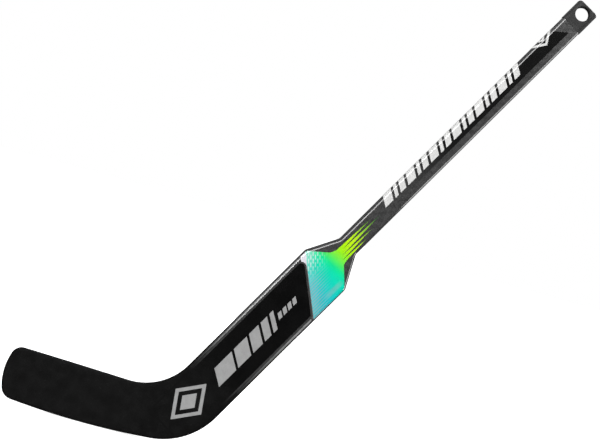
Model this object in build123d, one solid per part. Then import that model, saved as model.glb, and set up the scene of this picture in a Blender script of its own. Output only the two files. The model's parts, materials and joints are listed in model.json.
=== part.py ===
from build123d import *
from math import cos, radians, sin
import os

# A small goalkeeper's stick: hollow carbon shaft, foam-cored paddle and blade between
# laminate skins, a moulded butt cap with a hanging hole, and printed films. Millimetres.
#
# It stands in the playing pose, held by a hand on the shaft just above the paddle. X runs
# along the blade with the toe at -X, Z is up, and the shaft leans towards +X. The front
# face looks along -Y. The stick is drawn from its heel point, where the shaft's centre line
# meets the floor, and moved at the end so that the origin is in the middle of the grip.

# Overall
lie = 60.0              # shaft's angle above the floor
stick_length = 512.0    # heel point to butt end, along the shaft
depth = 12.5            # shaft and paddle, front to back
edge_round = 3.0        # along all long edges
wall = 1.5              # of the tube, and of the paddle's and blade's skins
rail = 3.5              # width of the stiffeners along the edges
film = 0.15             # thickness of a printed film

# Shaft
shaft_width = 19.0
cap_length = 21.0       # the part that shows
cap_lip = 0.5           # how far the cap stands proud of the tube
cap_end_round = 2.0
spigot_length = 22.0    # inside the tube
hole_radius = 6.0
hole_from_end = 7.9
hole_edge = 0.6

# Paddle, with distances along the shaft from the heel point
paddle_width = 47.2
paddle_drop = 0.6       # its centre line lies this far to the heel side of the shaft's
shoulder_low = 203.0    # full paddle width up to here
shoulder_high = 230.0   # shaft width from here on
shoulder_round = 6.0
throat_joint = 233.0    # where the tube ends on the throat
tenon_reach = 45.0      # into the tube and into the paddle
grip_at = 263.0         # middle of the hand's grip: the origin of the finished part

# Blade, seen from the front
toe_x = -133.2
toe_height = 25.0       # of the foremost point
toe_corner_x = -127.6
toe_low_round = 11.0
toe_high_round = 9.0
blade_top_toe = 47.8    # height of the top edge at the toe corner
blade_top_heel = 42.5   # height of the top edge at the inner corner
inner_corner_x = -2.0
inner_round = 50.0
heel_round = 62.0
rocker_radius = 650.0   # the sole's long curve
rocker_x = -56.0        # where it touches the floor
split_top = (-22.0, 60.0)       # the paddle and the blade meet on a slanted line
split_floor = (-8.0, -10.0)
toe_rail_x = -112.0

# Blade, seen from above
curve_start_x = -15.0
toe_curve = 6.0         # how far the toe bends forward
toe_depth = 6.5
plan_end_x = -140.0

# Prints on the paddle, from its centre line: slanted ends lean by panel_slant per millimetre
panel_start = 18.0
panel_end = 182.2       # the slanted end, on the centre line
panel_slant = 0.77
panel_top = 18.75
panel_bottom = -18.75
panel_corner = 3.0
panel_margin = 0.4      # the panel and its border stop this far inside the flat face
border = 1.4
flash_gap = 2.5         # from the panel's slanted end to the throat decal
stripe_inner = 20.65    # the pinstripes
stripe_outer = 22.15
stripe_top_end = 195.0
throat_corner = 202.0   # where the throat decal begins at its upper edge
emblem_at = 45.5, 2.1

# Shaft prints
shaft_panel_start = 272.0
shaft_panel_end = 485.1
shaft_panel_top = 6.6
shaft_panel_bottom = -2.9
shaft_panel_slant = 0.82        # of its upper end
end_mark_at = 465.0             # middle of the chevrons
shaft_mark_top = 11.0           # beyond the shaft's edge, so that they wrap round it
mark_slant = 0.6        # lean of all slanted marks, along per millimetre across

along = Vector(cos(radians(lie)), 0, sin(radians(lie)))
across = Vector(sin(radians(lie)), 0, -cos(radians(lie)))   # towards the heel side
far = 700.0
tube_end = stick_length - cap_length
inner_width = shaft_width - 2 * wall
inner_depth = depth - 2 * wall
inner_round_section = edge_round - wall


def at(a, b):
    """Front-view point at a along the shaft and b towards the heel side."""
    point = along * a + across * b
    return point.X, point.Z


def shaft_plane(y):
    """Plane facing the front, its x along the shaft and its y away from the heel side."""
    return Plane(origin=(0, y, 0), x_dir=along, z_dir=(0, -1, 0))


def rounded(face, corners):
    """Round the outline's corners nearest to the given points."""
    for point, radius in corners:
        face = fillet(face.vertices().sort_by_distance(point)[0], radius)
    return face


def stick_outline():
    half, wide = shaft_width / 2, paddle_width / 2
    low, high = paddle_drop + wide, paddle_drop - wide
    strip = make_face(Polyline(
        at(far, half), at(shoulder_high, half), at(shoulder_low, low), at(-50, low),
        at(-50, high), at(shoulder_low, high), at(shoulder_high, -half), at(far, -half),
        close=True,
    ))
    toe_high, inner = (toe_corner_x, blade_top_toe), (inner_corner_x, blade_top_heel)
    toe_low = (toe_corner_x, 2 * toe_height - blade_top_toe)
    blade = make_face(
        ThreePointArc(toe_low, (toe_x, toe_height), toe_high)
        + Polyline(toe_high, inner, (inner_corner_x, -20), (toe_corner_x, -20), toe_low)
    )
    over_sole = Pos(rocker_x, rocker_radius) * Circle(rocker_radius)
    outline = (strip + blade) & over_sole
    return rounded(outline, [
        (at(shoulder_high, half), shoulder_round), (at(shoulder_low, low), shoulder_round),
        (at(shoulder_high, -half), shoulder_round), (at(shoulder_low, high), shoulder_round),
        (at(18, low), heel_round), (inner, inner_round),
        ((toe_corner_x, 4), toe_low_round), (toe_high, toe_high_round),
    ])


def front_curve(shift):
    """The front surface seen from above, moved back by shift."""
    y = shift - depth / 2
    start, end = (curve_start_x, y), (plan_end_x, y - toe_curve)
    return Line((far, y), start) + TangentArc(start, end, tangent=(-1, 0))


def back_curve(shift):
    """The back surface seen from above, moved back by shift."""
    y = shift + depth / 2
    start, end = (curve_start_x, y), (plan_end_x, y - toe_curve - depth + toe_depth)
    return Line((far, y), start) + TangentArc(start, end, tangent=(-1, 0))


def layer(front, back):
    """Everything between two surfaces that are given as seen from above."""
    ends = Line(front @ 0, back @ 0) + Line(front @ 1, back @ 1)
    return extrude(make_face(front + back + ends), far, both=True)


def seen_from_front(face):
    """Everything that a front-view face covers."""
    return extrude(Plane.XZ * face, 5 * depth, both=True)


def stick_body(outline, grow):
    """The stick without its cap, all its long edges rounded, grown by a film's height."""
    grown = offset(outline, grow) if grow else outline
    body = seen_from_front(grown) & layer(front_curve(-grow), back_curve(grow))
    long_edges = [e for e in body.edges() if abs((e @ 1 - e @ 0).Y) < depth / 2 - 1
                  and e.center().dot(along) < far - 50]
    return fillet(long_edges, edge_round + grow)


def bar(start, end, width, thick, radius):
    """A rounded bar on the shaft's centre line."""
    section = Plane(origin=along * start, x_dir=across, z_dir=along)
    return extrude(section * RectangleRounded(width, thick, radius), end - start)


def stretch(start, end, low=-far, high=far):
    """Everything between two distances along the shaft, and low to high across it."""
    size = (end - start, high - low)
    middle = Pos((start + end) / 2, (low + high) / 2, 0) * Box(*size, far)
    return shaft_plane(0) * middle


# ---- the structure ----

def shaft_tube():
    outside = bar(throat_joint, tube_end, shaft_width, depth, edge_round)
    inside = bar(throat_joint, tube_end, inner_width, inner_depth, inner_round_section)
    return outside - inside


def butt_cap():
    wide, thick = shaft_width + 2 * cap_lip, depth + 2 * cap_lip
    head = bar(tube_end, stick_length, wide, thick, edge_round + cap_lip)
    end_face = head.faces().sort_by_distance(along * stick_length)[0]
    head = fillet(end_face.edges(), cap_end_round)
    spigot = bar(tube_end - spigot_length, tube_end, inner_width, inner_depth, inner_round_section)
    drill = shaft_plane(0) * Pos(stick_length - hole_from_end, 0, 0) * Cylinder(hole_radius, far)
    cap = head + spigot - drill
    rims = cap.edges().filter_by(GeomType.CIRCLE).filter_by(lambda e: abs(e.radius - hole_radius) < 0.01)
    return chamfer(rims, hole_edge)


def throat_tenon():
    ends = throat_joint - tenon_reach, throat_joint + tenon_reach
    return bar(*ends, inner_width, inner_depth, inner_round_section)


def paddle_and_blade(outline, body):
    """Skins, rails and cores of the paddle and of the blade."""
    paddle_side = seen_from_front(make_face(Polyline(
        split_top, split_floor, (far, split_floor[1]), (far, far), (split_top[0], far), close=True,
    )))
    below_tube = stretch(-far, throat_joint)
    layers = {
        "front_skin": layer(front_curve(0), front_curve(wall)),
        "back_skin": layer(back_curve(-wall), back_curve(0)),
        "middle": layer(front_curve(wall), back_curve(-wall)),
    }
    core_zone = seen_from_front(offset(outline, -rail))
    tenon = throat_tenon()
    halves = {"paddle": body & paddle_side & below_tube, "blade": body - paddle_side}
    pieces, edges = {}, {}
    for name, half in halves.items():
        pieces[f"{name}_front_skin"] = half & layers["front_skin"]
        pieces[f"{name}_back_skin"] = half & layers["back_skin"]
        middle = half & layers["middle"]
        pieces[f"{name}_core"] = (middle & core_zone) - tenon
        edges[name] = (middle - core_zone) - tenon
    upper, lower = sorted(edges["paddle"].solids(), key=lambda s: s.center().dot(across))
    toe_zone = Pos(toe_rail_x - far / 2, 0, 0) * Box(far, far, far)
    top_zone = Pos(0, 0, toe_height + far / 2) * Box(far, far, far)
    pieces |= {
        "paddle_upper_rail": upper,
        "paddle_lower_rail": lower,
        "blade_toe_rail": edges["blade"] & toe_zone,
        "blade_top_rail": (edges["blade"] - toe_zone) & top_zone,
        "blade_sole_rail": edges["blade"] - toe_zone - top_zone,
    }
    return pieces


# ---- the printed films, drawn along the shaft ----

def slant_at(y, gap=0.0):
    """Where the panel's slanted end is, at a height above the centre line."""
    return panel_end + panel_slant * y + gap


def panel_face():
    face = make_face(Polyline(
        (panel_start, panel_top), (slant_at(panel_top), panel_top),
        (slant_at(panel_bottom), panel_bottom), (panel_start, panel_bottom), close=True,
    ))
    return rounded(face, [((slant_at(panel_top), panel_top), panel_corner)])


def border_face():
    return offset(panel_face(), border) - panel_face()


def flash_face():
    """White flash between the panel's border and the throat decal."""
    rise = stripe_outer - stripe_inner
    return make_face(Polyline(
        (stripe_top_end, stripe_inner), (stripe_top_end + panel_slant * rise, stripe_outer),
        (throat_corner, stripe_outer), (slant_at(15.0, flash_gap), 15.0),
        (slant_at(-22.0, flash_gap), -22.0), (slant_at(-22.0, border), -22.0),
        (slant_at(-18.0), -18.0), close=True,
    )) - offset(panel_face(), border)


def throat_face():
    """The throat's bright decal, which ends in four streaks on the shaft."""
    streaks = [(259.3, 3.4), (225.3, 2.0), (268.4, 0.3), (221.1, -1.4),
               (254.3, -2.9), (218.6, -4.4), (245.2, -5.8)]
    return make_face(Polyline(
        (slant_at(-22.7, flash_gap), -22.7), (slant_at(15.0, flash_gap), 15.0),
        (throat_corner, stripe_outer), (204.0, 21.2), (216.0, 7.2), (221.0, 5.0), *streaks,
        (221.0, -6.9), (217.0, -7.9), (204.5, -21.2), (202.0, -22.7), close=True,
    ))


def slanted(start, length, bottom, top):
    """A slanted block: start and length on its lower edge."""
    lean = mark_slant * (top - bottom)
    return make_face(Polyline(
        (start, bottom), (start + length, bottom),
        (start + length + lean, top), (start + lean, top), close=True,
    ))


def pinstripe_face(side, start, end):
    low, high = sorted((side * stripe_inner, side * stripe_outer))
    return make_face(Polyline((start, low), (end, low), (end + panel_slant * (high - low), high),
                              (start, high), close=True))


def tapering_blocks(start, lengths, gap, bottom, top):
    """A row of slanted blocks, each of its own length."""
    blocks = []
    for length in lengths:
        blocks.append(slanted(start, length, bottom, top))
        start += length + gap
    return blocks


def shaft_panel_face():
    rise = shaft_panel_top - shaft_panel_bottom
    return make_face(Polyline(
        (shaft_panel_start, shaft_panel_bottom), (shaft_panel_end, shaft_panel_bottom),
        (shaft_panel_end - shaft_panel_slant * rise, shaft_panel_top), (shaft_panel_start, shaft_panel_top),
        close=True,
    ))


def emblem_faces():
    """A lozenge outline round a small solid lozenge."""
    def lozenge(half_long, half_high):
        return make_face(Polyline((-half_long, 0), (0, half_high), (half_long, 0), (0, -half_high),
                                  close=True))
    place = Pos(*emblem_at)
    return [place * (lozenge(21, 15) - lozenge(16, 11.4)), place * lozenge(10, 7.1)]


def paddle_stripe_faces():
    return tapering_blocks(72.0, [20.0, 15.0, 11.0, 7.5, 4.5], 2.6, -7.2, 6.6)


def paddle_dash_faces():
    return tapering_blocks(146.5, [4.0] * 4, 1.6, -2.8, 2.0)


def shaft_bar_faces():
    """Slanted blocks along the shaft's upper edge, long and short by turns."""
    lengths = [9.0, 3.6, 6.2] * 6
    return tapering_blocks(275.0, lengths, 2.6, 0.7, shaft_mark_top)


def end_mark_faces():
    """Two nested chevrons that run over the shaft's upper edge."""
    def chevron(half, point, thick):
        return make_face(Polyline(
            (-half, shaft_mark_top), (thick - half, shaft_mark_top), (0, point + thick * 0.75),
            (half - thick, shaft_mark_top), (half, shaft_mark_top), (0, point), close=True,
        ))
    place = Pos(end_mark_at, 0)
    return [place * chevron(13.5, 2.3, 3.2), place * chevron(6.6, 6.9, 2.4)]


def film_of(shell, faces, wrap=0.0):
    """Films of these faces on the front, wrapped round the edges and this far up the sides."""
    reach = edge_round + wrap
    front_side = Pos(0, -depth / 2 + reach - far / 2, 0) * Box(3 * far, far, 3 * far)
    covered = Part() + [extrude(shaft_plane(0) * f, 5 * depth, both=True) for f in faces]
    return shell & front_side & covered


def prints(outline, body):
    """All films, flush with each other. The back repeats the front."""
    shell = stick_body(outline, film) - body
    flat = seen_from_front(offset(outline, -edge_round - panel_margin))
    lowered = Pos(0, -paddle_drop)
    emblem, stripes, dashes = emblem_faces(), paddle_stripe_faces(), paddle_dash_faces()
    bars, end_mark = shaft_bar_faces(), end_mark_faces()
    on_paddle = {
        "paddle_panel": [panel_face() - emblem - stripes - dashes],
        "panel_border": [border_face()],
        "paddle_emblem": emblem,
        "paddle_stripes": stripes,
        "paddle_dashes": dashes,
        "upper_pinstripe": [pinstripe_face(1, 72.0, stripe_top_end)],
        "lower_pinstripe": [pinstripe_face(-1, 79.0, slant_at(-stripe_outer))],
        "throat_flash": [flash_face()],
        "throat_decal": [throat_face()],
    }
    pieces = {n: film_of(shell, [lowered * f for f in faces]) for n, faces in on_paddle.items()}
    pieces["paddle_panel"] &= flat
    pieces["panel_border"] &= flat
    pieces |= {
        "shaft_panel": film_of(shell, [shaft_panel_face() - bars - end_mark]),
        "shaft_bars": film_of(shell, bars, wrap=1.5),
        "shaft_end_mark": film_of(shell, end_mark, wrap=1.5),
    }
    back = {f"back_{name}": mirror(piece, about=Plane.XZ) for name, piece in pieces.items()}
    return pieces | back


def all_pieces():
    outline = stick_outline()
    body = stick_body(outline, 0)
    pieces = {
        "shaft_tube": shaft_tube(),
        "butt_cap": butt_cap(),
        "throat_tenon": throat_tenon(),
    }
    pieces |= paddle_and_blade(outline, body)
    pieces |= prints(outline, body)
    return pieces


def main():
    to_grip = Pos(along * -grip_at)
    os.makedirs("parts", exist_ok=True)
    for name, piece in all_pieces().items():
        export_step(to_grip * piece, f"parts/{name}.step")
        print(f"{name}: {len(piece.solids())} solids, {piece.volume:.1f} mm3, valid {piece.is_valid}")
    places = {
        "hanging_hole": along * (stick_length - hole_from_end - grip_at),
        "back_face": along * (110 - grip_at) + across * 13 + Vector(0, depth / 2 + film, 0),
    }
    for name, point in places.items():
        print(name, point)


main()
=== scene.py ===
import json
import math

import bpy
from mathutils import Matrix, Vector


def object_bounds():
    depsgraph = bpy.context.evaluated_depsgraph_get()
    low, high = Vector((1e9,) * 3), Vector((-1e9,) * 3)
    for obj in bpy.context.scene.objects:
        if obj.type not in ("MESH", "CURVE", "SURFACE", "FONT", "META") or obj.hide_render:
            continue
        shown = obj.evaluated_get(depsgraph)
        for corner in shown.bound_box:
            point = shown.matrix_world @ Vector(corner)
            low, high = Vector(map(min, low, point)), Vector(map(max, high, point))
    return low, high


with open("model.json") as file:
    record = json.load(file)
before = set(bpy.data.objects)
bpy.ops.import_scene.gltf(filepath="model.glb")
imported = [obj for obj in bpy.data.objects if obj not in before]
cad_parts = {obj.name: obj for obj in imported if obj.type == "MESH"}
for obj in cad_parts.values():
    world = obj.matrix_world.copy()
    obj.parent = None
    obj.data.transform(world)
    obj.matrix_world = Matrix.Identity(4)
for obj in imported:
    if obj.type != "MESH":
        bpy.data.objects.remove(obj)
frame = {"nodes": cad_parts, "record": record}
nodes = frame["nodes"]
cadBox = [list(corner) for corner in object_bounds()]
print("frame loaded,", len(nodes), "pieces")

# The stick stands in the playing pose, its shaft leaning towards +X.
stick = {
    "lie": 60.0,              # shaft above the floor, degrees
    "heelToHole": 0.5041,     # heel point to the hanging hole, metres
    "halfDepth": 0.00625,
}
lean = math.radians(stick["lie"])
along = Vector((math.cos(lean), 0, math.sin(lean)))      # up the shaft
across = Vector((-math.sin(lean), 0, math.cos(lean)))    # towards its upper edge
front = Vector((0, -1, 0))
up = Vector((0, 0, 1))
hole = next(m for m in frame["record"]["mounts"] if m["name"] == "hanging_hole")
heel = Vector(hole["pos_m"]) - along * stick["heelToHole"]
middle = (Vector(cadBox[0]) + Vector(cadBox[1])) / 2
floorHeight = cadBox[0][2]


class Wire:
    # One output of a shader node. Sums and products of wires add Math nodes.
    def __init__(self, tree, socket=None):
        self.tree = tree
        self.socket = socket

    def node(self, kind, settings=None, inputs=None, output=0):
        made = self.tree.nodes.new(kind)
        for name, value in (settings or {}).items():
            if name == "stops":
                setStops(made.color_ramp, value)
            else:
                setattr(made, name, value)
        for name, value in (inputs or {}).items():
            if isinstance(value, Wire):
                self.tree.links.new(value.socket, made.inputs[name])
            else:
                made.inputs[name].default_value = value
        return Wire(self.tree, made.outputs[output]) if len(made.outputs) else None

    def maths(self, operation, *values):
        return self.node("ShaderNodeMath", {"operation": operation}, dict(enumerate(values)))

    def __add__(self, other):
        return self.maths("ADD", self, other)

    def __sub__(self, other):
        return self.maths("SUBTRACT", self, other)

    def __rsub__(self, other):
        return self.maths("SUBTRACT", other, self)

    def __mul__(self, other):
        return self.maths("MULTIPLY", self, other)

    def __truediv__(self, other):
        return self.maths("DIVIDE", self, other)

    def __rtruediv__(self, other):
        return self.maths("DIVIDE", other, self)

    def __mod__(self, other):
        return self.maths("FLOORED_MODULO", self, other)

    def __lt__(self, other):
        return self.maths("LESS_THAN", self, other)

    __radd__ = __add__
    __rmul__ = __mul__

    def whole(self):
        return self.maths("FLOOR", self)

    def size(self):
        return self.maths("ABSOLUTE", self)

    def wave(self):
        return self.maths("SINE", self)

    def rise(self, low, high):
        # 0 up to low, 1 from high on, smooth between; it falls where low is the larger
        return self.node("ShaderNodeMapRange", {"interpolation_type": "SMOOTHSTEP"},
                         {"Value": self, "From Min": low, "From Max": high})

    def between(self, low, high):
        # a number, low where this wire is 0 and high where it is 1
        return low * (1 - self) + high * self

    def mix(self, low, high):
        # a colour, low where this wire is 0 and high where it is 1
        return self.node("ShaderNodeMix", {"data_type": "RGBA"}, {0: self, 6: low, 7: high}, 2)

    def ramp(self, stops):
        return self.node("ShaderNodeValToRGB", {"stops": stops}, {"Fac": self})

    def vector(self, operation, other, output=0):
        return self.node("ShaderNodeVectorMath", {"operation": operation}, {0: self, 1: other}, output)

    def noise(self, grain, detail=2.0, roughness=0.5):
        # cloudy grain of this size, from 0 to 1
        return self.node("ShaderNodeTexNoise", {}, {
            "Vector": self, "Scale": 1 / grain, "Detail": detail, "Roughness": roughness})

    def cells(self, grain):
        # distance from the middles of cells of this size
        return self.node("ShaderNodeTexVoronoi", {}, {"Vector": self, "Scale": 1 / grain}, "Distance")

    def bump(self, distance, strength):
        return self.node("ShaderNodeBump", {}, {
            "Height": self, "Distance": distance, "Strength": strength}, "Normal")


def setStops(ramp, stops):
    ramp.elements[0].position = stops[0][0]
    ramp.elements[1].position = stops[-1][0]
    for place, colour in stops[1:-1]:
        ramp.elements.new(place)
    for element, (place, colour) in zip(ramp.elements, stops):
        element.color = colour


def paint(colour):
    # a grey level or red, green and blue, by the display values, 0 to 255, seen in full light
    levels = colour if isinstance(colour, tuple) else (colour,) * 3
    return (*[((v / 255 + 0.055) / 1.055) ** 2.4 if v > 10 else v / 3295 for v in levels], 1.0)


lacquerRoughness = 0.07     # of the clear coat over the carbon and the prints
underLacquer = 0.0          # specular level below it
patternUnit = 1000          # patterns are laid out in millimetres, the scene in metres


class Finish:
    # A material and the millimetres that its pattern is laid out in.
    def __init__(self, name):
        self.material = bpy.data.materials.new(name)
        self.material.use_nodes = True
        self.material.node_tree.nodes.clear()
        self.start = Wire(self.material.node_tree)
        place = self.start.node("ShaderNodeTexCoord", output="Object")
        fromHeel = place.vector("SUBTRACT", heel)
        # s up the shaft from the heel, t towards the upper edge, h towards the back
        self.s = fromHeel.vector("DOT_PRODUCT", along * patternUnit, "Value")
        self.t = fromHeel.vector("DOT_PRODUCT", across * patternUnit, "Value")
        self.h = fromHeel.vector("DOT_PRODUCT", front * -patternUnit, "Value")
        self.spot = self.start.node("ShaderNodeCombineXYZ", {}, {0: self.s, 1: self.t, 2: self.h})

    def lay(self, colour, roughness, normal, shine, lacquer=0.0, **more):
        # shine is the specular level of the bare surface, lacquer how much clear coat lies over it
        shader = self.start.node("ShaderNodeBsdfPrincipled", {}, {
            "Base Color": colour, "Roughness": roughness, "Normal": normal,
            "Specular IOR Level": shine, "Coat Weight": lacquer,
            "Coat Roughness": lacquerRoughness, **more})
        self.start.node("ShaderNodeOutputMaterial", {}, {"Surface": shader})
        return self.material


def around(level, *waverings):
    # wavers about a level: each wire runs from 0 to 1 and moves it by its own amount
    value = level - sum(amount for wire, amount in waverings) / 2
    for wire, amount in waverings:
        value = wire * amount + value
    return value


def shades(wire, look):
    # from a look's dark paint to its light one as the wire crosses the look's contrast
    return wire.rise(*look["contrast"]).mix(paint(look["dark"]), paint(look["light"]))


def brushedAlong(f, look):
    # fibres or brush strokes that run up the shaft
    stretched = f.spot.vector("MULTIPLY", (look["stretch"], 1.0, 1.0))
    return stretched.noise(look["grain"], detail=3.0, roughness=0.6)


carbon = {
    "dark": 42, "light": 88, "nearCap": 114,      # paler towards the cap
    "capFade": (430, 492),
    "grain": 0.5, "grainContrast": (0.3, 0.72),
    "mottle": 4.0, "mottleContrast": (0.3, 0.7), "mottleShare": 0.18,
    "tow": 2.0, "twill": 4.0, "towsOver": 1.5, "towShare": 0.12,
    "threads": 9.0, "threadShare": 0.03,
    "roughness": 0.36, "grainWaver": 0.08, "mottleWaver": 0.04,
    "relief": (0.00002, 0.5),                     # bump distance and strength
}


def carbonLook(f):
    # colour, roughness and height of speckled carbon under satin lacquer
    girth = f.t + f.h
    column = (f.s / carbon["tow"]).whole()
    row = (girth / carbon["tow"]).whole()
    over = ((column + row) % carbon["twill"]) < carbon["towsOver"]
    lengthwise = (f.s * carbon["threads"]).wave()
    crosswise = (girth * carbon["threads"]).wave()
    threads = over.between(crosswise, lengthwise)
    speckle = f.spot.noise(carbon["grain"], detail=3.0, roughness=0.65).rise(*carbon["grainContrast"])
    mottle = f.spot.noise(carbon["mottle"]).rise(*carbon["mottleContrast"])
    speckleShare = 1 - carbon["mottleShare"] - carbon["towShare"]
    tone = (speckle * speckleShare + mottle * carbon["mottleShare"]
            + over * carbon["towShare"] + threads * carbon["threadShare"])
    light = f.s.rise(*carbon["capFade"]).mix(paint(carbon["light"]), paint(carbon["nearCap"]))
    roughness = around(carbon["roughness"],
                       (speckle, carbon["grainWaver"]), (mottle, carbon["mottleWaver"]))
    return tone.mix(paint(carbon["dark"]), light), roughness, tone


def carbonFinish():
    f = Finish("shaftCarbon")
    colour, roughness, tone = carbonLook(f)
    return f.lay(colour, roughness, tone.bump(*carbon["relief"]), underLacquer, 1.0)


grit = {
    "dark": 14, "light": 32, "fleck": 70,
    "grain": 0.5, "grainContrast": (0.3, 0.75), "grainShare": 0.7,
    "cloud": 9.0, "cloudContrast": (0.3, 0.7),
    "fleckSize": 1.4, "fleckEdge": (0.12, 0.04), "fleckClouds": (0.45, 0.6),
    "roughness": 0.78, "waver": 0.12, "shine": 0.01,
    "relief": (0.00012, 0.6),
}


def gritLook(f):
    # colour, roughness and height of the blade's gritty black coat
    grain = f.spot.noise(grit["grain"], detail=3.0, roughness=0.6)
    cloud = f.spot.noise(grit["cloud"], detail=3.0)
    fleck = f.spot.cells(grit["fleckSize"]).rise(*grit["fleckEdge"]) * cloud.rise(*grit["fleckClouds"])
    tone = (grain.rise(*grit["grainContrast"]) * grit["grainShare"]
            + cloud.rise(*grit["cloudContrast"]) * (1 - grit["grainShare"]))
    colour = fleck.mix(tone.mix(paint(grit["dark"]), paint(grit["light"])), paint(grit["fleck"]))
    return colour, around(grit["roughness"], (grain, grit["waver"])), grain


def bladeFinish():
    f = Finish("bladeGrit")
    colour, roughness, height = gritLook(f)
    return f.lay(colour, roughness, height.bump(*grit["relief"]), grit["shine"])


paddle = {
    "bareFade": (62, 140), "ragged": 24.0, "ragSize": 14.0,
    "weaveHeight": 0.2, "relief": (0.0001, 0.5),
}


def paddleFinish():
    # the blade's black coat thins out up the paddle until the carbon shows
    f = Finish("paddleLaminate")
    black, blackRoughness, grain = gritLook(f)
    weave, weaveRoughness, tone = carbonLook(f)
    rag = around(0, (f.spot.noise(paddle["ragSize"], detail=3.0), paddle["ragged"]))
    bare = (f.s + rag).rise(*paddle["bareFade"])
    roughness = bare.between(blackRoughness, weaveRoughness)
    height = bare.between(grain, tone * paddle["weaveHeight"])
    return f.lay(bare.mix(black, weave), roughness, height.bump(*paddle["relief"]), underLacquer, bare)


capPlastic = {
    "dark": 51, "light": 68, "contrast": (0.3, 0.7),
    "grain": 0.35, "flow": 5.0,                   # fine texture and slow flow marks of the moulding
    "roughness": 0.42, "grainWaver": 0.14, "flowWaver": 0.06,
    "shine": 0.05, "relief": (0.00004, 0.5),
}


def capFinish():
    f = Finish("capMouldedPlastic")
    grain = f.spot.noise(capPlastic["grain"])
    flow = f.spot.noise(capPlastic["flow"], roughness=0.4)
    roughness = around(capPlastic["roughness"],
                       (grain, capPlastic["grainWaver"]), (flow, capPlastic["flowWaver"]))
    colour = shades((grain + flow) / 2, capPlastic)
    return f.lay(colour, roughness, grain.bump(*capPlastic["relief"]), capPlastic["shine"])


foam = {
    "wall": (196, 190, 178), "pit": (150, 144, 132), "cell": 1.3, "cellContrast": 1.4,
    "dust": 0.4, "roughness": 0.87, "waver": 0.1, "shine": 0.1, "relief": (0.0004, 0.8),
}


def foamFinish():
    f = Finish("foamCore")
    cell = f.spot.cells(foam["cell"])
    dust = f.spot.noise(foam["dust"], detail=3.0)
    colour = (cell * foam["cellContrast"]).mix(paint(foam["pit"]), paint(foam["wall"]))
    roughness = around(foam["roughness"], (dust, foam["waver"]))
    return f.lay(colour, roughness, cell.bump(*foam["relief"]), foam["shine"])


tenon = {
    "dark": 66, "light": 84, "contrast": (0.3, 0.7), "stretch": 0.15, "grain": 0.6,
    "roughness": 0.6, "waver": 0.2, "shine": 0.3, "relief": (0.0001, 0.4),
}


def tenonFinish():
    f = Finish("throatTenon")
    fibre = brushedAlong(f, tenon)                # chopped fibre, drawn out
    roughness = around(tenon["roughness"], (fibre, tenon["waver"]))
    return f.lay(shades(fibre, tenon), roughness, fibre.bump(*tenon["relief"]), tenon["shine"])


panel = {
    "dark": 9, "light": 14, "contrast": (0.35, 0.65), "cloud": 18.0,
    "peel": 1.6, "peelHeight": 0.1,               # orange peel of the lacquer
    "glossFade": (58, 96), "roughness": 0.315, "waver": 0.03, "relief": (0.0001, 0.5),
}


def paddlePanelFinish():
    # gloss black that turns into the blade's coat at the heel
    f = Finish("paddlePanelBlack")
    black, blackRoughness, grain = gritLook(f)
    deep = shades(f.spot.noise(panel["cloud"]), panel)
    peel = f.spot.noise(panel["peel"], detail=1.0)
    shiny = f.s.rise(*panel["glossFade"])
    roughness = shiny.between(blackRoughness, around(panel["roughness"], (peel, panel["waver"])))
    height = shiny.between(grain, peel * panel["peelHeight"])
    return f.lay(shiny.mix(black, deep), roughness, height.bump(*panel["relief"]), underLacquer, shiny)


inkGrain = {"screen": 0.45, "cloud": 7.0, "screenShare": 0.6}


def printTexture(f):
    # ink on the lacquer: a fine screen grain and slow clouds, about 0 to 1
    screen, cloud = f.spot.noise(inkGrain["screen"]), f.spot.noise(inkGrain["cloud"])
    return screen * inkGrain["screenShare"] + cloud * (1 - inkGrain["screenShare"])


def layFilm(f, look, grain, colour, lacquer=1.0):
    # a printed film, whose grain roughens it and stands a little proud
    roughness = around(look["roughness"], (grain, look["waver"]))
    return f.lay(colour, roughness, grain.bump(*look["relief"]), underLacquer, lacquer)


borderPrint = {
    "dark": 56, "light": 72, "contrast": (0.35, 0.65), "heelBlack": 22, "fade": (62, 92),
    "roughness": 0.45, "waver": 0.1, "relief": (0.00002, 0.4),
}


def borderFinish():
    # grey that fades into the blade's black at the heel
    f = Finish("panelBorderGrey")
    ink = printTexture(f)
    seen = f.s.rise(*borderPrint["fade"])
    colour = seen.mix(paint(borderPrint["heelBlack"]), shades(ink, borderPrint))
    return layFilm(f, borderPrint, ink, colour, seen)


# silver stripes beside the panel: print along the lower edge, and along the upper edge partly a painted
# highlight
stripePrintAndHighlight = {
    "dark": 124, "light": 170, "contrast": (0.3, 0.7), "heelBlack": 20, "fade": (62, 166),
    "stretch": 0.08, "grain": 0.5,
    "roughness": 0.4, "waver": 0.12, "relief": (0.00002, 0.5),
}


def stripePrintAndHighlightFinish():
    # brushed silver print that fades into the blade's black at the heel; along the paddle's upper edge
    # its silver is partly a painted highlight of the rounded edge
    f = Finish("stripePrintAndHighlightSilver")
    brushed = brushedAlong(f, stripePrintAndHighlight)
    seen = f.s.rise(*stripePrintAndHighlight["fade"])
    silver = shades((printTexture(f) + brushed) / 2, stripePrintAndHighlight)
    return layFilm(f, stripePrintAndHighlight, brushed, seen.mix(paint(stripePrintAndHighlight["heelBlack"]), silver), seen)


greyMarks = {
    "dark": 158, "light": 176, "contrast": (0.32, 0.68), "lacquer": 0.4,
    "roughness": 0.5, "waver": 0.1, "relief": (0.00003, 0.5),
}


def greyMarkFinish():
    f = Finish("paddleMarkGrey")
    ink = printTexture(f)
    return layFilm(f, greyMarks, ink, shades(ink, greyMarks), greyMarks["lacquer"])


whitePrint = {
    "dark": (214, 214, 213), "light": (241, 241, 240),
    "inkContrast": (0.3, 0.7), "inkShare": 0.8, "base": 0.12,
    "screen": 0.7, "dotShare": 0.08,
    "roughness": 0.4, "waver": 0.08, "relief": (0.000015, 0.4),
}


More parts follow.
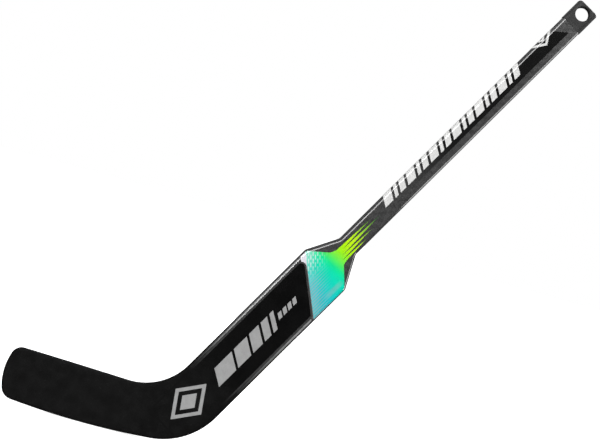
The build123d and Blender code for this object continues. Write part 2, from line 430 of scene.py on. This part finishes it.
def whitePrintFinish():
    # white ink with the faint dot screen of a printed sheet
    f = Finish("shaftPrintWhite")
    ink = printTexture(f)
    turns = 2 * math.pi / whitePrint["screen"]
    dots = ((f.s + f.t) * turns).wave() * ((f.s - f.t) * turns).wave()
    inked = ink.rise(*whitePrint["inkContrast"])
    tone = inked * whitePrint["inkShare"] + dots * whitePrint["dotShare"] + whitePrint["base"]
    return layFilm(f, whitePrint, ink, tone.mix(paint(whitePrint["dark"]), paint(whitePrint["light"])))


shaftPrint = {
    "dark": 18, "light": 26, "contrast": (0.3, 0.7), "fade": (286, 356),
    "roughness": 0.34, "waver": 0.08, "relief": (0.00002, 0.5),
}


def shaftPanelFinish():
    # black ink that thins out towards the throat, so the carbon shows through
    f = Finish("shaftPanelBlack")
    weave, weaveRoughness, tone = carbonLook(f)
    ink = printTexture(f)
    cover = f.s.rise(*shaftPrint["fade"])
    inkRoughness = around(shaftPrint["roughness"], (ink, shaftPrint["waver"]))
    return f.lay(cover.mix(weave, shades(ink, shaftPrint)), cover.between(weaveRoughness, inkRoughness),
                 cover.between(tone, ink).bump(*shaftPrint["relief"]), underLacquer, 1.0)


throat = {
    "lean": 0.08,           # the colours' bands lean a little with the panel's end
    "bands": [              # place up the shaft and its colour
        (178, (45, 198, 206)), (186, (30, 208, 212)), (194, (20, 220, 204)), (198, (10, 226, 198)),
        (202, (5, 232, 192)), (206, (4, 238, 182)), (210, (14, 243, 152)), (214, (80, 250, 105)),
        (218, (128, 252, 72)), (222, (156, 252, 35)), (226, (182, 254, 5)), (236, (204, 254, 10)),
        (250, (150, 210, 60)), (262, (64, 112, 54)), (269, (36, 58, 40)),
    ],
    "edgeAt": 184.7, "edgeLean": 0.77,      # the slanted edge beside the panel
    "pale": (222, 248, 242), "pink": (172, 180, 192), "inkShade": (20, 90, 90),
    "inkContrast": (0.35, 0.75), "inkStrength": 0.1, "inkHeight": 0.5,
    "roughness": 0.36, "waver": 0.08, "relief": (0.00002, 0.5),
}
# Each pattern's reach is from the slanted edge, its spread across the paddle.
throatDashes = {
    "rowPitch": 1.9, "rowEdge": (0.36, 0.16), "pitch": 6.4, "length": 0.62, "softness": 0.05,
    "reach": (28, 5), "spread": (-1, 15), "strength": 0.85,
}
throatLines = {
    "pitch": 2.0, "edge": (0.32, 0.12), "reach": (25, 3), "spread": (8, -3),
    "strength": 0.6, "height": 0.5,
}
throatPatch = {"at": -17.5, "edge": (3.0, 0.5), "start": (184, 192), "end": (208, 200), "strength": 0.3}
throatHaze = {
    "edgeReach": (13, 0), "edgeStrength": 0.12,
    "cornerReach": (20, 2), "cornerSpread": (6, 22), "cornerStrength": 0.35,
}


def dashPattern(f, fromEdge):
    # staggered rows of short dashes on the slant
    diagonal = math.sqrt(0.5)
    down = (f.s + f.t) * diagonal
    row = (f.s - f.t) * diagonal / throatDashes["rowPitch"]
    inRow = (row % 1.0 - 0.5).size().rise(*throatDashes["rowEdge"])
    step = (down / throatDashes["pitch"] + row.whole() * 0.5) % 1.0
    halfDash, softness = throatDashes["length"] / 2, throatDashes["softness"]
    inDash = (step - 0.5).size().rise(halfDash + softness, halfDash - softness)
    return inRow * inDash * fromEdge.rise(*throatDashes["reach"]) * f.t.rise(*throatDashes["spread"])


def linePattern(f, fromEdge):
    # fine lines up the shaft
    ridge = ((f.t / throatLines["pitch"]) % 1.0 - 0.5).size().rise(*throatLines["edge"])
    return ridge * fromEdge.rise(*throatLines["reach"]) * f.t.rise(*throatLines["spread"])


def patchPattern(f):
    # a pinkish patch near the lower edge
    inBand = (f.t - throatPatch["at"]).size().rise(*throatPatch["edge"])
    return inBand * f.s.rise(*throatPatch["start"]) * f.s.rise(*throatPatch["end"])


def hazePattern(f, fromEdge):
    # paler along the slanted edge and in the upper corner
    corner = f.t.rise(*throatHaze["cornerSpread"]) * fromEdge.rise(*throatHaze["cornerReach"])
    edge = fromEdge.rise(*throatHaze["edgeReach"])
    return edge * throatHaze["edgeStrength"] + corner * throatHaze["cornerStrength"]


def throatFinish():
    # aqua to lime, crossed by pale dashes above and fine lines below
    f = Finish("throatAquaToLime")
    bands = throat["bands"]
    first, last = bands[0][0], bands[-1][0]
    reach = (f.s + f.t * throat["lean"] - first) / (last - first)
    hue = reach.ramp([((place - first) / (last - first), paint(colour)) for place, colour in bands])
    fromEdge = f.s - throat["edgeAt"] - f.t * throat["edgeLean"]
    dashes, lines = dashPattern(f, fromEdge), linePattern(f, fromEdge)
    ink = printTexture(f)
    colour = hazePattern(f, fromEdge).mix(hue, paint(throat["pale"]))
    overlays = [
        (lines * throatLines["strength"], throat["pink"]),
        (patchPattern(f) * throatPatch["strength"], throat["pink"]),
        (dashes * throatDashes["strength"], throat["pale"]),
        (ink.rise(*throat["inkContrast"]) * throat["inkStrength"], throat["inkShade"]),
    ]
    for strength, tint in overlays:
        colour = strength.mix(colour, paint(tint))
    height = ink * throat["inkHeight"] + dashes + lines * throatLines["height"]
    roughness = around(throat["roughness"], (ink, throat["waver"]))
    return f.lay(colour, roughness, height.bump(*throat["relief"]), underLacquer, 1.0)


flash = {
    "dark": (228, 226, 238), "light": (246, 245, 252), "contrast": (0.3, 0.7),
    "thin": 104, "fill": (8, 17),                 # grey where it is thin, full white above
    "roughness": 0.38, "waver": 0.08, "relief": (0.00002, 0.4),
}


def flashFinish():
    f = Finish("throatFlashWhite")
    ink = printTexture(f)
    filled = f.t.rise(*flash["fill"])
    return layFilm(f, flash, ink, filled.mix(paint(flash["thin"]), shades(ink, flash)))


# Each material slot of the record and the finish that its pieces get.
finishes = {
    "shaft_carbon": carbonFinish,
    "cap_plastic": capFinish,
    "tenon_plastic": tenonFinish,
    "paddle_laminate": paddleFinish,
    "blade_laminate": bladeFinish,
    "foam": foamFinish,
    "film_black": paddlePanelFinish,
    "film_shaft_black": shaftPanelFinish,
    "film_dark_grey": borderFinish,
    "film_white": whitePrintFinish,
    "film_silver": stripePrintAndHighlightFinish,
    "film_grey": greyMarkFinish,
    "film_throat": throatFinish,
}
made = {slot: build() for slot, build in finishes.items()}
for piece in frame["record"]["subparts"]:
    nodes[piece["node"]].material_slots[0].material = made[piece["material_slot"]]
whiteFlash = flashFinish()
for name in ("throat_flash", "back_throat_flash"):
    nodes[name].material_slots[0].material = whiteFlash
print("finishes laid on,", len(made) + 1)


floorLook = {
    "radius": 60.0, "sides": 72, "paint": 235, "roughness": 0.9,
    "glow": 0.77, "farGlow": 1.01, "farFade": (0.5, 1.6),     # metres from the middle
    "dust": 3.0, "dustGlow": 0.02, "relief": (0.0001, 0.2),
}


def floorFinish():
    # pale, and lost in the white around it a little way off
    f = Finish("paleFloor")
    place = f.start.node("ShaderNodeTexCoord", output="Object")
    away = place.vector("LENGTH", (0, 0, 0), "Value").rise(*floorLook["farFade"])
    dust = f.spot.noise(floorLook["dust"], detail=3.0) * floorLook["dustGlow"]
    glow = away * (floorLook["farGlow"] - floorLook["glow"]) + dust + floorLook["glow"]
    light = f.start.node("ShaderNodeCombineColor", {}, {0: glow, 1: glow, 2: glow})
    return f.lay(paint(floorLook["paint"]), floorLook["roughness"], dust.bump(*floorLook["relief"]), 0.0,
                 **{"Emission Color": light, "Emission Strength": 1.0})


def layFloor():
    turns = [2 * math.pi * n / floorLook["sides"] for n in range(floorLook["sides"])]
    corners = [Vector((math.cos(a), math.sin(a), 0)) * floorLook["radius"] for a in turns]
    mesh = bpy.data.meshes.new("floor")
    mesh.from_pydata(corners, [], [list(range(len(corners)))])
    mesh.materials.append(floorFinish())
    floor = bpy.data.objects.new("floor", mesh)
    floor.location = (middle.x, middle.y, floorHeight)
    bpy.context.scene.collection.objects.link(floor)
    floor.visible_glossy = False
    floor.visible_diffuse = False
    floor.visible_shadow = False


layFloor()
print("floor laid")


def aimed(place, target, lengthwise):
    # faces the target, its own X turned as near to lengthwise as it can be
    back = (place - target).normalized()
    right = (lengthwise - back * lengthwise.dot(back)).normalized()
    turn = Matrix((right, back.cross(right), back)).transposed().to_4x4()
    return Matrix.Translation(place) @ turn


studio = {
    "white": 1.0,           # what the camera sees behind the stick
    "around": 0.42,         # soft light from everywhere
    "mirrored": 0.03,       # what glossy faces reflect where no lamp is
    "washDistance": 2.2, "washSize": (2.0, 2.0), "washHeight": 0.35,
    "frontWash": 34, "backWash": 34, "topWash": 22,           # watts
    "stripDistance": 1.2,
    "upperTurn": 17, "lowerTurn": 82,       # degrees from the front's direction to an edge's
    "upperStrip": {"size": (1.3, 0.5), "power": 24},
    "lowerStrip": {"size": (0.5, 0.9), "power": 10, "shift": 0.35},
    "backHigh": (0, 0.64, 0.77), "backSide": (0.64, 0.64, 0.42),
    "backStrip": {"size": (0.6, 0.6), "power": 16},
}


def skyLight():
    world = bpy.data.worlds.new("studio")
    world.use_nodes = True
    world.node_tree.nodes.clear()
    start = Wire(world.node_tree)
    seen = start.node("ShaderNodeLightPath", output="Is Camera Ray")
    mirrored = start.node("ShaderNodeLightPath", output="Is Glossy Ray")
    lamp = mirrored.between(studio["around"], studio["mirrored"])
    strength = seen.between(lamp, studio["white"])
    glow = start.node("ShaderNodeBackground", {}, {"Color": (1, 1, 1, 1), "Strength": strength})
    start.node("ShaderNodeOutputWorld", {}, {"Surface": glow})
    bpy.context.scene.world = world


def softBox(name, side, distance, glossy, size, power, shift=0.0):
    # side is the way from the stick to the box; glossy boxes only make highlights
    lamp = bpy.data.lights.new(name, "AREA")
    lamp.shape = "RECTANGLE"
    lamp.size, lamp.size_y = size
    lamp.energy = power
    box = bpy.data.objects.new(name, lamp)
    target = middle + along * shift
    box.matrix_world = aimed(target + side.normalized() * distance, target, along)
    bpy.context.scene.collection.objects.link(box)
    box.visible_camera = False
    box.visible_glossy = glossy
    box.visible_diffuse = not glossy


def slanting(edge, degrees):
    # between the front face's direction and an edge's, this far from the face's
    angle = math.radians(degrees)
    return front * math.cos(angle) + edge * math.sin(angle)


def lightStudio():
    raised = up * studio["washHeight"]
    washes = {"frontWash": raised + front, "backWash": raised - front, "topWash": up}
    for name, side in washes.items():
        softBox(name, side, studio["washDistance"], False, studio["washSize"], studio[name])
    strips = {
        "upperStrip": (slanting(across, studio["upperTurn"]), studio["upperStrip"]),
        "lowerStrip": (slanting(-across, studio["lowerTurn"]), studio["lowerStrip"]),
        "backHighStrip": (Vector(studio["backHigh"]), studio["backStrip"]),
        "backSideStrip": (Vector(studio["backSide"]), studio["backStrip"]),
    }
    for name, (side, look) in strips.items():
        softBox(name, side, studio["stripDistance"], True, **look)


skyLight()
lightStudio()
print("studio lit")


camera = {
    "aim": (0.07117, 0.2091),    # from the heel point, along X and Z
    "distance": 1.9,             # from the front face
    "lens": 137.4, "sensor": 36.0, "roll": 15.3,
}


def setCamera():
    data = bpy.data.cameras.new("camera")
    data.lens = camera["lens"]
    data.sensor_width = camera["sensor"]
    view = bpy.data.objects.new("camera", data)
    aimX, aimZ = camera["aim"]
    target = heel + Vector((aimX, 0, aimZ)) + front * stick["halfDepth"]
    roll = math.radians(camera["roll"])
    lengthwise = Vector((math.cos(roll), 0, math.sin(roll)))
    view.matrix_world = aimed(target + front * camera["distance"], target, lengthwise)
    bpy.context.scene.collection.objects.link(view)
    bpy.context.scene.camera = view
    bpy.context.scene.view_settings.view_transform = "Standard"


setCamera()
print("camera set")
